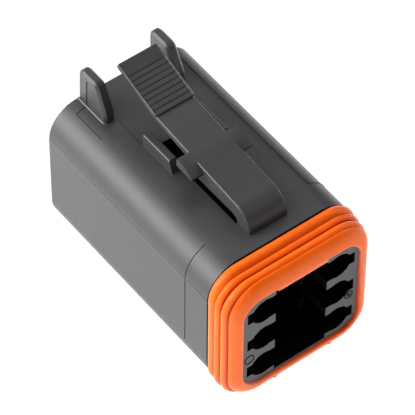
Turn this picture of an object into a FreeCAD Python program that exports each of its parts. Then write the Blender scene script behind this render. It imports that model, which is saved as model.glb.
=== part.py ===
import FreeCAD, Part
import os
import Sketcher

# Six-way rectangular plug housing, lying on its bottom face with the latch on top.
# The mating face looks along -Y, the wires leave along +Y, and +Z is up.
# The origin is the middle of the box that the whole part fills, at its bottom.

# Driving dimensions in millimetres and degrees.
SIZES = {
    # housing shell, drawn out from the nose
    "overall_length": 36.85,
    "side_step": 1.9,
    "bottom_step": 2.0,
    "top_step": 2.7,
    "body_corner_radius": 4.5,
    "body_edge_chamfer": 0.06,
    # nose that the interface seal is stretched over, drawn round the contacts
    "seal_length": 4.55,
    "lip_proud": 0.35,
    "column_margin": 3.3,
    "row_margin": 2.9,
    "nose_corner_radius": 2.7,
    # contact cavities, two columns of three, open to the slot between the columns
    "column_spacing": 11.1,
    "row_pitch": 5.1,
    "cavity_radius": 1.95,
    "cavity_mouth": 3.55,
    "cavity_depth": 9.8,
    "key_width": 1.85,
    "key_wall": 0.75,
    "web_reach": 1.65,
    "slot_floor": 0.45,
    "slot_lift": 0.3,
    "bore_radius": 1.6,
    # fingers that hold the contacts, moulded on the bulkhead
    "finger_length": 5.6,
    "finger_width": 2.2,
    "finger_thickness": 0.7,
    # chamber at the rear for the wire seal and its retainer
    "gland_margin": 3.15,
    "gland_corner_radius": 3.0,
    "wire_seal_length": 9.6,
    "wire_rib_height": 0.4,
    "retainer_thickness": 2.4,
    "retainer_hole_radius": 2.05,
    "retainer_edge_chamfer": 0.3,
    "wire_hole_radius": 1.0,
    "fit_clearance": 0.05,
    # interface seal: three ribs that stand out from the shell, and the front band
    "rib_proud": 0.2,
    "rib_corner_radius": 4.1,
    "rear_rib_setback": 0.05,
    "front_rib_setback": 0.2,
    "band_setback": 0.5,
    "groove_setback": 0.65,
    "rib_pitch": 1.15,
    "rib_width": 1.0,
    "rib_chamfer": 0.25,
    "band_length": 0.4,
    "band_edge_chamfer": 0.2,
    "lip_thickness": 0.25,
    "tab_width": 7.6,
    "tab_drop": 0.35,
    "tab_length": 1.1,
    "nub_spacing": 8.4,
    "nub_width": 0.8,
    "nub_length": 0.5,
    # latch arm
    "latch_width": 5.7,
    "latch_hinge": 9.35,
    "latch_root": 2.45,
    "latch_front_height": 2.8,
    "latch_front_radius": 3.0,
    "latch_web_height": 1.0,
    "latch_web_radius": 0.9,
    "latch_web_end": 17.65,
    "latch_rise": 5.1,
    "latch_thickness": 1.2,
    "latch_edge_chamfer": 0.12,
    "thumb_start": 25.35,
    "thumb_length": 7.65,
    "thumb_rise": 17.8,
    "thumb_step": 0.28,
    "thumb_tip": 0.75,
    "ridge_count": 8,
    "ridge_pitch": 0.78,
    "ridge_depth": 0.13,
    # lugs at the sides of the arm that catch in the mating half
    "lug_reach": 1.75,
    "lug_rear": 19.0,
    "lug_flat": 1.7,
    "lug_ramp": 1.3,
    "lug_drop": 0.85,
    "lug_thickness": 1.15,
    # relief under the arm, rails beside it and guard ears behind it
    "relief_clearance": 0.1,
    "relief_depth": 1.2,
    "relief_length": 15.4,
    "rail_clearance": 0.45,
    "rail_thickness": 1.15,
    "rail_height": 1.85,
    "rail_start": 20.0,
    "rail_length": 5.9,
    "rail_edge_chamfer": 0.12,
    "ear_inset": 0.05,
    "ear_thickness": 1.58,
    "ear_top_thickness": 1.42,
    "ear_height": 5.15,
    "ear_length": 5.55,
    "ear_top_length": 3.65,
    "ear_front_height": 1.2,
    "ear_brow_radius": 1.2,
    "ear_rear_radius": 0.8,
    "ear_edge_chamfer": 0.3,
    "channel_depth": 0.15,
    # lines that the mould leaves along the body
    "line_width": 0.14,
    "line_depth": 0.07,
    "side_line_height": 14.1,
    "shoulder_line_offset": 1.6,
    "shoulder_line_front": 9.0,
    "shoulder_line_rear": 34.85,
}

# Sizes that follow from the ones above.
NOSE_WIDTH = "(sizes.column_spacing + 2 * sizes.column_margin)"
NOSE_HEIGHT = "(2 * sizes.row_pitch + 2 * sizes.row_margin)"
BODY_WIDTH = f"({NOSE_WIDTH} + 2 * sizes.side_step)"
BODY_HEIGHT = f"({NOSE_HEIGHT} + sizes.bottom_step + sizes.top_step)"
FLAT_HALF = f"({BODY_WIDTH} / 2 - sizes.body_corner_radius)"
SLOT_HALF = "(sizes.column_spacing / 2 - sizes.web_reach)"
LATCH_HALF = "(sizes.latch_width / 2)"
EAR_FOOT = f"({FLAT_HALF} - sizes.ear_inset)"
EAR_INNER = f"({EAR_FOOT} - sizes.ear_thickness)"

# Heights. The lowest point is the rib that stands out most.
BODY_BOTTOM = "(sizes.rib_proud)"
BODY_TOP = f"({BODY_BOTTOM} + {BODY_HEIGHT})"
NOSE_BOTTOM = f"({BODY_BOTTOM} + sizes.bottom_step)"
NOSE_CENTRE = f"({NOSE_BOTTOM} + {NOSE_HEIGHT} / 2)"
NOSE_TOP = f"({NOSE_BOTTOM} + {NOSE_HEIGHT})"
EAR_TOP = f"({BODY_TOP} + sizes.ear_height)"

# Stations along Y, measured from the plane of the seal's front rim.
FRONT = "(-sizes.overall_length / 2)"
REAR = "(sizes.overall_length / 2)"
SHOULDER = f"({FRONT} + sizes.seal_length)"
NOSE_FACE = f"({FRONT} + sizes.lip_proud)"
BAND = f"({SHOULDER} - 3 * sizes.rib_pitch)"
HINGE = f"({FRONT} + sizes.latch_hinge)"
THUMB = f"({FRONT} + sizes.thumb_start)"

ROWS = (-1, 0, 1)
SIDES = (-1, 1)
RIBS = ("rear", "middle", "front")
RIB_SETBACKS = ("sizes.rear_rib_setback", "0", "sizes.front_rib_setback")


def fill_sheet(document):
    """Keep every driving dimension as a plain number in a named cell."""
    sheet = document.addObject("Spreadsheet::Sheet", "sizes")
    for row, (name, value) in enumerate(SIZES.items(), start=1):
        sheet.set(f"A{row}", name)
        sheet.set(f"B{row}", str(value))
        sheet.setAlias(f"B{row}", name)
    document.recompute()
    return sheet


class Piece:
    """One moulded piece: a body whose sketches and features follow the sheet."""

    def __init__(self, document, label):
        self.document = document
        self.body = document.addObject("PartDesign::Body", label)
        self.body.Label = label

    def plane(self, role):
        """Origin plane or axis of this piece by its role."""
        return next(f for f in self.body.Origin.OriginFeatures if f.Role == role)

    def sketch(self, name, role, offset="0"):
        """Sketch on an origin plane, moved along the plane's normal."""
        made = self.body.newObject("Sketcher::SketchObject", name)
        made.AttachmentSupport = [(self.plane(role), "")]
        made.MapMode = "FlatFace"
        made.setExpression("AttachmentOffset.Base.z", offset)
        return made

    def front_sketch(self, name, station):
        """Sketch that faces along Y at a station, with X across and Z up."""
        return self.sketch(name, "XZ_Plane", f"-({station})")

    def extrude(self, kind, name, profile, length, reverse=False, both=False):
        """Pad or pocket whose volume change is tested."""
        before = self.body.Shape.Volume if self.body.Tip else 0.0
        made = self.body.newObject(f"PartDesign::{kind}", name)
        made.Profile = profile
        made.Reversed = reverse
        made.SideType = "Symmetric" if both else "One side"
        made.setExpression("Length", length)
        self.document.recompute()
        if abs(made.Shape.Volume - before) < 1e-6:
            raise RuntimeError(f"{name} changes nothing")
        return made

    def pad(self, name, profile, length, reverse=False, both=False):
        return self.extrude("Pad", name, profile, length, reverse, both)

    def pocket(self, name, profile, length, reverse=False, both=False):
        return self.extrude("Pocket", name, profile, length, reverse, both)

    def dress(self, kind, name, size, choose):
        """Fillet or chamfer on the edges of the last feature that choose picks."""
        base = self.body.Tip
        made = self.body.newObject(f"PartDesign::{kind}", name)
        names = [f"Edge{i}" for i, edge in enumerate(base.Shape.Edges, start=1) if choose(edge)]
        if not names:
            raise RuntimeError(f"{name} finds no edge")
        made.Base = (base, names)
        made.setExpression("Radius" if kind == "Fillet" else "Size", size)
        self.document.recompute()
        return made

    def fillet(self, name, radius, choose):
        return self.dress("Fillet", name, radius, choose)

    def chamfer(self, name, size, choose):
        return self.dress("Chamfer", name, size, choose)

    def measure(self, expression):
        """Number that an expression has now."""
        return value_of(self.body, expression)

    def loft(self, name, first, last):
        """Solid between two outlines."""
        made = self.body.newObject("PartDesign::AdditiveLoft", name)
        made.Profile = first
        made.Sections = [last]
        made.Ruled = True
        self.document.recompute()
        return made


def value_of(item, expression):
    """Number that an expression has now, worked out by an object of the document."""
    found = item.evalExpression(expression)
    return float(getattr(found, "Value", found))


def bind_point(sketch, index, vertex, x, y):
    """Hold one vertex at two expressions from the sketch's origin."""
    for kind, expression in (("DistanceX", x), ("DistanceY", y)):
        number = sketch.addConstraint(
            Sketcher.Constraint(kind, -1, 1, index, vertex, value_of(sketch, expression))
        )
        sketch.setExpression(f"Constraints[{number}]", expression)


def polygon(sketch, corners):
    """Closed outline through corners given as pairs of expressions."""
    first = sketch.GeometryCount
    points = [FreeCAD.Vector(value_of(sketch, x), value_of(sketch, y), 0) for x, y in corners]
    count = len(points)
    for i in range(count):
        sketch.addGeometry(Part.LineSegment(points[i], points[(i + 1) % count]), False)
    for i in range(count):
        following = first + (i + 1) % count
        sketch.addConstraint(Sketcher.Constraint("Coincident", first + i, 2, following, 1))
    for i, (x, y) in enumerate(corners):
        bind_point(sketch, first + i, 1, x, y)


def rectangle(sketch, left, right, low, high):
    """Upright rectangle between four expressions."""
    polygon(sketch, [(left, low), (right, low), (right, high), (left, high)])


def circle(sketch, x, y, radius):
    """Circle whose centre and radius are expressions."""
    centre = FreeCAD.Vector(value_of(sketch, x), value_of(sketch, y), 0)
    axis = FreeCAD.Vector(0, 0, 1)
    index = sketch.addGeometry(Part.Circle(centre, axis, value_of(sketch, radius)), False)
    number = sketch.addConstraint(Sketcher.Constraint("Radius", index, value_of(sketch, radius)))
    sketch.setExpression(f"Constraints[{number}]", radius)
    bind_point(sketch, index, 3, x, y)


def rounded_rectangle(sketch, width, height, radius, centre):
    """Outline with four equal corner arcs, centred on X = 0 at a height."""
    half = value_of(sketch, f"({width}) / 2")
    low = value_of(sketch, f"({centre}) - ({height}) / 2")
    high = value_of(sketch, f"({centre}) + ({height}) / 2")
    r = value_of(sketch, radius)
    v = FreeCAD.Vector
    turn = 1.5707963267948966
    sides = [
        (v(-half + r, low, 0), v(half - r, low, 0)),
        (v(half, low + r, 0), v(half, high - r, 0)),
        (v(half - r, high, 0), v(-half + r, high, 0)),
        (v(-half, high - r, 0), v(-half, low + r, 0)),
    ]
    corners = [
        (v(half - r, low + r, 0), 3 * turn),
        (v(half - r, high - r, 0), 0.0),
        (v(-half + r, high - r, 0), turn),
        (v(-half + r, low + r, 0), 2 * turn),
    ]
    lines = []
    arcs = []
    for (start, end), (middle, angle) in zip(sides, corners):
        lines.append(sketch.addGeometry(Part.LineSegment(start, end), False))
        ring = Part.Circle(middle, v(0, 0, 1), r)
        arcs.append(sketch.addGeometry(Part.ArcOfCircle(ring, angle, angle + turn), False))
    for i in range(4):
        sketch.addConstraint(Sketcher.Constraint("Tangent", lines[i], 2, arcs[i], 1))
        sketch.addConstraint(Sketcher.Constraint("Tangent", arcs[i], 2, lines[(i + 1) % 4], 1))
    for i in (0, 2):
        sketch.addConstraint(Sketcher.Constraint("Horizontal", lines[i]))
        sketch.addConstraint(Sketcher.Constraint("Vertical", lines[i + 1]))
    for i in (1, 2, 3):
        sketch.addConstraint(Sketcher.Constraint("Equal", arcs[0], arcs[i]))
    number = sketch.addConstraint(Sketcher.Constraint("Radius", arcs[0], r))
    sketch.setExpression(f"Constraints[{number}]", radius)
    ends = [
        ("DistanceX", lines[1], f"({width}) / 2", half),
        ("DistanceX", lines[3], f"-({width}) / 2", -half),
        ("DistanceY", lines[2], f"({centre}) + ({height}) / 2", high),
        ("DistanceY", lines[0], f"({centre}) - ({height}) / 2", low),
    ]
    for kind, line, expression, value in ends:
        number = sketch.addConstraint(Sketcher.Constraint(kind, -1, 1, line, 1, value))
        sketch.setExpression(f"Constraints[{number}]", expression)


def each_cavity():
    """Middle of every contact cavity as a pair of expressions, with its side."""
    for side in SIDES:
        for row in ROWS:
            x = f"({side} * sizes.column_spacing / 2)"
            z = f"({NOSE_CENTRE} + {row} * sizes.row_pitch)"
            yield side, x, z


def six_circles(sketch, radius):
    """One circle on the middle of every cavity."""
    for _, x, z in each_cavity():
        circle(sketch, x, z, radius)


def in_plane_y(edge, station):
    """True for an edge that lies in a plane across the length."""
    box = edge.BoundBox
    return abs(box.YMin - station) < 1e-4 and abs(box.YMax - station) < 1e-4


def body_outline(sketch):
    """Outer outline of the housing."""
    centre = f"({BODY_BOTTOM} + {BODY_HEIGHT} / 2)"
    rounded_rectangle(sketch, BODY_WIDTH, BODY_HEIGHT, "sizes.body_corner_radius", centre)


def rib_outline(sketch, setback):
    """Outline of the rib that stands out most, or one drawn in from it all round."""
    drawn_in = f"2 * (sizes.rib_proud - {setback})"
    rounded_rectangle(
        sketch,
        f"{BODY_WIDTH} + {drawn_in}",
        f"{BODY_HEIGHT} + {drawn_in}",
        f"sizes.rib_corner_radius - {setback}",
        f"({BODY_BOTTOM} + {BODY_HEIGHT} / 2)",
    )


def nose_outline(sketch, outset="0"):
    """Outer outline of the nose, or one drawn out from it all round."""
    rounded_rectangle(
        sketch,
        f"{NOSE_WIDTH} + 2 * ({outset})",
        f"{NOSE_HEIGHT} + 2 * ({outset})",
        f"sizes.nose_corner_radius + ({outset})",
        NOSE_CENTRE,
    )


def gland_outline(sketch, inset="0"):
    """Outline of the rear chamber, or one drawn in from it all round."""
    margin = f"(sizes.gland_margin - ({inset}))"
    rounded_rectangle(
        sketch,
        f"sizes.column_spacing + 2 * {margin}",
        f"2 * sizes.row_pitch + 2 * {margin}",
        f"sizes.gland_corner_radius - ({inset})",
        NOSE_CENTRE,
    )


def add_shell_and_nose(housing):
    """Rounded shell with the smaller nose that stands in front of it."""
    shell = housing.front_sketch("shell_outline", SHOULDER)
    body_outline(shell)
    housing.pad("shell", shell, "sizes.overall_length - sizes.seal_length", reverse=True)
    nose = housing.front_sketch("nose_outline", NOSE_FACE)
    nose_outline(nose)
    housing.pad("nose", nose, "sizes.seal_length - sizes.lip_proud", reverse=True)


def cut_front_cavities(housing):
    """Slot between the columns, and six round cavities with a keyway and a mouth."""
    slot = housing.front_sketch("slot_outline", NOSE_FACE)
    rectangle(
        slot,
        f"-{SLOT_HALF}",
        SLOT_HALF,
        f"{NOSE_BOTTOM} + sizes.slot_floor",
        f"{NOSE_TOP} + sizes.slot_lift",
    )
    housing.pocket("slot", slot, "sizes.cavity_depth")
    rounds = housing.front_sketch("cavity_rounds", NOSE_FACE)
    six_circles(rounds, "sizes.cavity_radius")
    housing.pocket("cavities", rounds, "sizes.cavity_depth")
    mouths = housing.front_sketch("cavity_mouths", NOSE_FACE)
    keys = housing.front_sketch("cavity_keys", NOSE_FACE)
    for side, x, z in each_cavity():
        mouth = [x, f"({side} * ({SLOT_HALF} - sizes.finger_thickness / 2))"]
        key = [x, f"({side} * ({NOSE_WIDTH} / 2 - sizes.key_wall))"]
        if side > 0:
            mouth.reverse()
        else:
            key.reverse()
        rectangle(mouths, *mouth, f"{z} - sizes.cavity_mouth / 2", f"{z} + sizes.cavity_mouth / 2")
        rectangle(keys, *key, f"{z} - sizes.key_width / 2", f"{z} + sizes.key_width / 2")
    housing.pocket("mouths", mouths, "sizes.cavity_depth")
    housing.pocket("keys", keys, "sizes.cavity_depth")


def add_fingers(housing):
    """One finger beside each cavity, moulded on the bulkhead and pointing forwards."""
    root = f"({NOSE_FACE} + sizes.cavity_depth)"
    outline = housing.front_sketch("finger_outlines", root)
    for side, _, z in each_cavity():
        reach = [
            f"({side} * ({SLOT_HALF} - sizes.finger_thickness))",
            f"({side} * {SLOT_HALF})",
        ]
        if side < 0:
            reach.reverse()
        half = "sizes.finger_width / 2"
        rectangle(outline, *reach, f"{z} - {half}", f"{z} + {half}")
    housing.pad("fingers", outline, "sizes.finger_length")


def cut_rear_chamber(housing):
    """Chamber for the wire seal, and the bores that join it to the cavities."""
    chamber = housing.front_sketch("gland_outline", REAR)
    gland_outline(chamber)
    depth = "sizes.wire_seal_length + sizes.retainer_thickness"
    housing.pocket("gland", chamber, depth, reverse=True)
    bores = housing.front_sketch("bore_outlines", NOSE_FACE)
    six_circles(bores, "sizes.bore_radius")
    housing.pocket("bores", bores, "sizes.overall_length")


def cut_latch_relief(housing):
    """Relief that lets the arm bend down, and the shallow channel behind it."""
    relief = housing.sketch("relief_outline", "XY_Plane", BODY_TOP)
    half = f"({LATCH_HALF} + sizes.relief_clearance)"
    rectangle(relief, f"-{half}", half, HINGE, f"({HINGE} + sizes.relief_length)")
    housing.pocket("relief", relief, "sizes.relief_depth")
    channel = housing.sketch("channel_outline", "XY_Plane", BODY_TOP)
    start = f"({FRONT} + sizes.rail_start + sizes.rail_length)"
    rectangle(channel, f"-{EAR_INNER}", EAR_INNER, start, REAR)
    housing.pocket("channel", channel, "sizes.channel_depth")


def add_rails(housing):
    """Low wall at each side of the relief."""
    outline = housing.sketch("rail_outlines", "XY_Plane", BODY_TOP)
    start = f"({FRONT} + sizes.rail_start)"
    end = f"({start} + sizes.rail_length)"
    inner = f"({LATCH_HALF} + sizes.rail_clearance)"
    outer = f"({inner} + sizes.rail_thickness)"
    rectangle(outline, inner, outer, start, end)
    rectangle(outline, f"-{outer}", f"-{inner}", start, end)
    housing.pad("rails", outline, "sizes.rail_height")
    top = housing.measure(f"{BODY_TOP} + sizes.rail_height")
    housing.chamfer(
        "rail_edges",
        "sizes.rail_edge_chamfer",
        lambda e: abs(e.BoundBox.ZMin - top) < 1e-4 and abs(e.BoundBox.ZMax - top) < 1e-4,
    )


def add_ears(housing):
    """Ear at each side of the thumb pad: leaning outside face and sloping front."""
    section = housing.front_sketch("ear_sections", REAR)
    brow = f"({EAR_INNER} + sizes.ear_top_thickness)"
    low = f"({BODY_TOP} - sizes.ear_front_height)"
    for side in SIDES:
        corners = [(EAR_INNER, low), (EAR_FOOT, low), (brow, EAR_TOP), (EAR_INNER, EAR_TOP)]
        polygon(section, [(f"{side} * {x}", z) for x, z in corners])
    housing.pad("ears", section, "sizes.ear_length")
    slope = housing.sketch("ear_slope", "YZ_Plane")
    foot_front = f"({REAR} - sizes.ear_length)"
    brow_front = f"({REAR} - sizes.ear_top_length)"
    over = f"({BODY_TOP} + 2 * sizes.ear_height)"
    before = f"({foot_front} - sizes.ear_thickness)"
    knee = f"({BODY_TOP} + sizes.ear_front_height)"
    polygon(
        slope,
        [(foot_front, knee), (brow_front, EAR_TOP), (brow_front, over), (before, over), (before, knee)],
    )
    housing.pocket("ear_fronts", slope, f"2 * {BODY_WIDTH}", both=True)
    brow_y = housing.measure(brow_front)
    top = housing.measure(EAR_TOP)
    housing.fillet(
        "ear_brows",
        "sizes.ear_brow_radius",
        lambda e: in_plane_y(e, brow_y) and abs(e.BoundBox.ZMin - top) < 1e-4,
    )
    rear = housing.measure(REAR)
    housing.fillet(
        "ear_rear_corners",
        "sizes.ear_rear_radius",
        lambda e: in_plane_y(e, rear) and abs(e.BoundBox.ZMin - top) < 1e-4,
    )
    floor = housing.measure(f"{BODY_TOP} + sizes.ear_front_height / 2")
    housing.chamfer(
        "ear_edges",
        "sizes.ear_edge_chamfer",
        lambda e: e.BoundBox.ZMax > floor and not in_plane_y(e, rear) and not across_x(e),
    )


def across_x(edge):
    """True for a straight edge that runs from side to side."""
    box = edge.BoundBox
    return box.YLength < 1e-4 and box.ZLength < 1e-4


def cut_mould_lines(housing):
    """Fine lines along the sides and the shoulders."""
    half = "sizes.line_width / 2"
    depth = "sizes.line_depth"
    sides = housing.front_sketch("side_lines", REAR)
    body_half = f"({BODY_WIDTH} / 2)"
    height = f"({BODY_BOTTOM} + {BODY_HEIGHT} - sizes.body_corner_radius)"
    for side in SIDES:
        reach = [f"{side} * ({body_half} - {depth})", f"{side} * ({body_half} + {depth})"]
        if side < 0:
            reach.reverse()
        line = f"({BODY_BOTTOM} + sizes.side_line_height)"
        rectangle(sides, *reach, f"{line} - {half}", f"{line} + {half}")
    length = "sizes.overall_length - sizes.seal_length"
    housing.pocket("side_marks", sides, length, reverse=True)
    shoulders = housing.front_sketch("shoulder_lines", f"{FRONT} + sizes.shoulder_line_rear")
    across = f"({FLAT_HALF} + sizes.shoulder_line_offset)"
    fall = "sqrt(sizes.body_corner_radius ^ 2 - sizes.shoulder_line_offset ^ 2)"
    for side in SIDES:
        rectangle(
            shoulders,
            f"{side} * {across} - {half}",
            f"{side} * {across} + {half}",
            f"{height} + {fall} - {depth}",
            f"{height} + {fall} + 2 * {depth}",
        )
    length = "sizes.shoulder_line_rear - sizes.shoulder_line_front"
    housing.pocket("shoulder_marks", shoulders, length, reverse=True)


def make_housing(document):
    """Plug housing, one moulding without the latch arm."""
    housing = Piece(document, "plug_housing")
    add_shell_and_nose(housing)
    add_ears(housing)
    rear = housing.measure(REAR)
    middle = housing.measure(NOSE_CENTRE)
    housing.chamfer(
        "rear_edge",
        "sizes.body_edge_chamfer",
        lambda e: in_plane_y(e, rear) and e.BoundBox.ZMin < middle,
    )
    cut_front_cavities(housing)
    cut_rear_chamber(housing)
    add_fingers(housing)
    cut_latch_relief(housing)
    add_rails(housing)
    cut_mould_lines(housing)
    return housing


def arm_top(y):
    """Height of the arm's top face at a station."""
    rise = f"(({y}) - ({HINGE} - sizes.latch_root)) * tan(sizes.latch_rise * 1 deg)"
    return f"({BODY_TOP} + sizes.latch_front_height + {rise})"


def thumb_top(y):
    """Height of the thumb pad's face at a station."""
    rise = f"(({y}) - {THUMB}) * tan(sizes.thumb_rise * 1 deg)"
    return f"({arm_top(THUMB)} + sizes.thumb_step + {rise})"


def make_latch(document):
    """Latch arm with its thumb pad and side lugs, bending at the rear edge of its root."""
    latch = Piece(document, "latch_arm")
    side = latch.sketch("arm_side", "YZ_Plane")
    front = f"({HINGE} - sizes.latch_root)"
    tip = f"({THUMB} + sizes.thumb_length)"
    web_end = f"({FRONT} + sizes.latch_web_end)"
    web_low = f"({BODY_TOP} + sizes.latch_web_height)"
    heel = f"({tip} + sizes.thumb_tip * sin(sizes.thumb_rise * 1 deg))"
    polygon(
        side,
        [
            (front, BODY_TOP),
            (HINGE, BODY_TOP),
            (HINGE, web_low),
            (web_end, web_low),
            (web_end, f"{arm_top(web_end)} - sizes.latch_thickness"),
            (THUMB, f"{arm_top(THUMB)} - sizes.thumb_tip"),
            (heel, f"{thumb_top(tip)} - sizes.thumb_tip * cos(sizes.thumb_rise * 1 deg)"),
            (tip, thumb_top(tip)),
            (THUMB, thumb_top(THUMB)),
            (THUMB, arm_top(THUMB)),
            (front, arm_top(front)),
        ],
    )
    latch.pad("arm", side, "sizes.latch_width", both=True)
    round_across(latch, "front_bend", "sizes.latch_front_radius", front, arm_top(front))
    round_across(latch, "slot_end", "sizes.latch_web_radius", HINGE, web_low)
    thumb_y = latch.measure(THUMB)
    web_z = latch.measure(f"{web_low} + sizes.latch_web_radius")

    def long_top_edge(edge):
        box = edge.BoundBox
        return box.XLength < 1e-4 and box.YMax < thumb_y + 1e-4 and box.ZMax > web_z + 0.5

    latch.chamfer("arm_edges", "sizes.latch_edge_chamfer", long_top_edge)
    add_lugs(latch)
    cut_ridges(latch)
    return latch


def round_across(piece, name, radius, y, z):
    """Round the edge that runs from side to side through a station and a height."""
    line_y = piece.measure(y)
    line_z = piece.measure(z)

    def chosen(edge):
        middle = edge.CenterOfMass
        return across_x(edge) and abs(middle.y - line_y) + abs(middle.z - line_z) < 1e-3

    piece.fillet(name, radius, chosen)


def add_lugs(latch):
    """Lug at each side of the arm: flush with its top, with a ramp in front."""
    outline = latch.sketch("lug_side", "YZ_Plane")
    rear = f"({FRONT} + sizes.lug_rear)"
    crest = f"({rear} - sizes.lug_flat)"
    toe = f"({crest} - sizes.lug_ramp)"
    low = f"({arm_top(crest)} - sizes.lug_thickness)"
    polygon(
        outline,
        [
            (toe, low),
            (rear, f"{arm_top(rear)} - sizes.lug_thickness"),
            (rear, arm_top(rear)),
            (crest, arm_top(crest)),
            (toe, f"{arm_top(crest)} - sizes.lug_drop"),
        ],
    )
    latch.pad("lugs", outline, "sizes.latch_width + 2 * sizes.lug_reach", both=True)


def cut_ridges(latch):
    """Saw-tooth grip ridges across the thumb pad, each with a riser that faces forwards."""
    teeth = latch.sketch("ridge_teeth", "YZ_Plane")
    run = "sizes.ridge_pitch * 0.9"
    lift = "sizes.ridge_depth"
    for index in range(1, int(SIZES["ridge_count"]) + 1):
        riser = f"({THUMB} + {index} * sizes.ridge_pitch)"
        toe = f"({riser} - {run})"
        polygon(
            teeth,
            [
                (toe, thumb_top(toe)),
                (riser, f"{thumb_top(riser)} - {lift}"),
                (riser, f"{thumb_top(riser)} + {lift}"),
                (toe, f"{thumb_top(toe)} + {lift}"),
            ],
        )
    latch.pocket("ridges", teeth, "2 * sizes.latch_width", both=True)


def make_interface_seal(document):
    """Ribbed sleeve stretched over the nose, with a smooth lip at the front."""
    seal = Piece(document, "interface_seal")
    sleeve = seal.front_sketch("sleeve_outline", BAND)
    rib_outline(sleeve, "sizes.groove_setback")
    seal.pad("sleeve", sleeve, "3 * sizes.rib_pitch", reverse=True)
    planes = []
    for index, (name, setback) in enumerate(zip(RIBS, RIB_SETBACKS)):
        station = f"({SHOULDER} - {index} * sizes.rib_pitch - sizes.rib_width)"
        outline = seal.front_sketch(f"{name}_rib_outline", station)
        rib_outline(outline, setback)
        seal.pad(f"{name}_rib", outline, "sizes.rib_width", reverse=True)
        planes.append(seal.measure(station))
        planes.append(seal.measure(f"{station} + sizes.rib_width"))
    sleeve_half = seal.measure(f"{BODY_WIDTH} / 2 + sizes.rib_proud - sizes.groove_setback")

    def rib_edge(edge):
        box = edge.BoundBox
        wide = max(abs(box.XMin), abs(box.XMax)) > sleeve_half + 0.05
        level = box.ZLength < 1e-4 and not inside_sleeve(seal, box)
        return any(in_plane_y(edge, y) for y in planes) and (wide or level)

    seal.chamfer("rib_edges", "sizes.rib_chamfer", rib_edge)
    add_lip(seal)
    return seal


def inside_sleeve(seal, box):
    """True for a level edge on the sleeve's own top or bottom."""
    depth = "sizes.rib_proud - sizes.groove_setback"
    low = seal.measure(f"{BODY_BOTTOM} - ({depth})")
    high = seal.measure(f"{BODY_TOP} + {depth}")
    return box.ZMin > low - 0.05 and box.ZMax < high + 0.05


def add_lip(seal):
    """Smooth front band that tapers to the rim, its bore, and the tab over the slot."""
    brow = f"({BAND} - sizes.band_length)"
    step = seal.front_sketch("band_outline", brow)
    rib_outline(step, "sizes.band_setback")
    seal.pad("band", step, "sizes.band_length", reverse=True)
    wide = seal.front_sketch("lip_foot", brow)
    rib_outline(wide, "sizes.band_setback")
    rim = seal.front_sketch("lip_rim", FRONT)
    nose_outline(rim, "sizes.lip_thickness")
    seal.loft("lip", wide, rim)
    brow_y = seal.measure(brow)
    seal.chamfer("band_edge", "sizes.band_edge_chamfer", lambda e: in_plane_y(e, brow_y))
    add_nubs(seal, brow)
    bore = seal.front_sketch("seal_bore", FRONT)
    nose_outline(bore, "sizes.fit_clearance")
    seal.pocket("bore", bore, "sizes.overall_length")
    tab = seal.front_sketch("tab_outline", FRONT)
    high = f"({NOSE_TOP} + sizes.fit_clearance)"
    half = "sizes.tab_width / 2"
    rectangle(tab, f"-{half}", half, f"{high} - sizes.tab_drop", f"{high} + sizes.fit_clearance")
    seal.pad("tab", tab, "sizes.tab_length", reverse=True)


def add_nubs(seal, station):
    """Two small gate nubs under the front band."""
    nubs = seal.front_sketch("nub_outlines", station)
    high = "(sizes.band_setback + sizes.fit_clearance)"
    for side in SIDES:
        middle = f"({side} * sizes.nub_spacing / 2)"
        polygon(
            nubs,
            [
                (f"{middle} - sizes.nub_width / 2", high),
                (middle, "sizes.fit_clearance"),
                (f"{middle} + sizes.nub_width / 2", high),
            ],
        )
    seal.pad("nubs", nubs, "sizes.nub_length", both=True)


def make_wire_seal(document):
    """Soft block at the rear with a hole for each wire and two ribs round it."""
    seal = Piece(document, "wire_seal")
    start = f"({REAR} - sizes.retainer_thickness - sizes.wire_seal_length)"
    core = seal.front_sketch("wire_seal_core", start)
    gland_outline(core, "sizes.wire_rib_height")
    seal.pad("core", core, "sizes.wire_seal_length", reverse=True)
    for share, name in ((0.25, "inner"), (0.75, "outer")):
        middle = f"({start} + sizes.wire_seal_length * {share})"
        outline = seal.front_sketch(f"wire_{name}_rib_outline", f"{middle} - sizes.rib_width")
        gland_outline(outline, "sizes.fit_clearance")
        seal.pad(f"wire_{name}_rib", outline, "2 * sizes.rib_width", reverse=True)
    holes = seal.front_sketch("wire_holes", start)
    six_circles(holes, "sizes.wire_hole_radius")
    seal.pocket("wires", holes, "sizes.wire_seal_length")
    return seal


def make_retainer(document):
    """Rear cap with six round openings that keeps the wire seal in its chamber."""
    cap = Piece(document, "seal_retainer")
    plate = cap.front_sketch("retainer_outline", f"{REAR} - sizes.retainer_thickness")
    gland_outline(plate, "sizes.fit_clearance")
    cap.pad("plate", plate, "sizes.retainer_thickness", reverse=True)
    rear = cap.measure(REAR)
    cap.chamfer("retainer_edge", "sizes.retainer_edge_chamfer", lambda e: in_plane_y(e, rear))
    holes = cap.front_sketch("retainer_holes", f"{REAR} - sizes.retainer_thickness")
    six_circles(holes, "sizes.retainer_hole_radius")
    cap.pocket("openings", holes, "sizes.retainer_thickness")
    return cap


def check_document(document):
    """Stop if any object failed to compute."""
    for item in document.Objects:
        state = [word for word in item.State if word in ("Invalid", "Error")]
        if state:
            raise RuntimeError(f"{item.Name} is {state[0]}")


def export(pieces):
    """Write each piece's solid to its own file."""
    os.makedirs("parts", exist_ok=True)
    for piece in pieces:
        shape = piece.body.Shape
        if shape.isNull() or not shape.isValid() or len(shape.Solids) != 1:
            raise RuntimeError(f"{piece.body.Label} is not one valid solid")
        shape.exportStep(f"parts/{piece.body.Label}.step")
        print(f"{piece.body.Label}: {shape.Volume:.2f} cubic millimetres")


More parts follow.
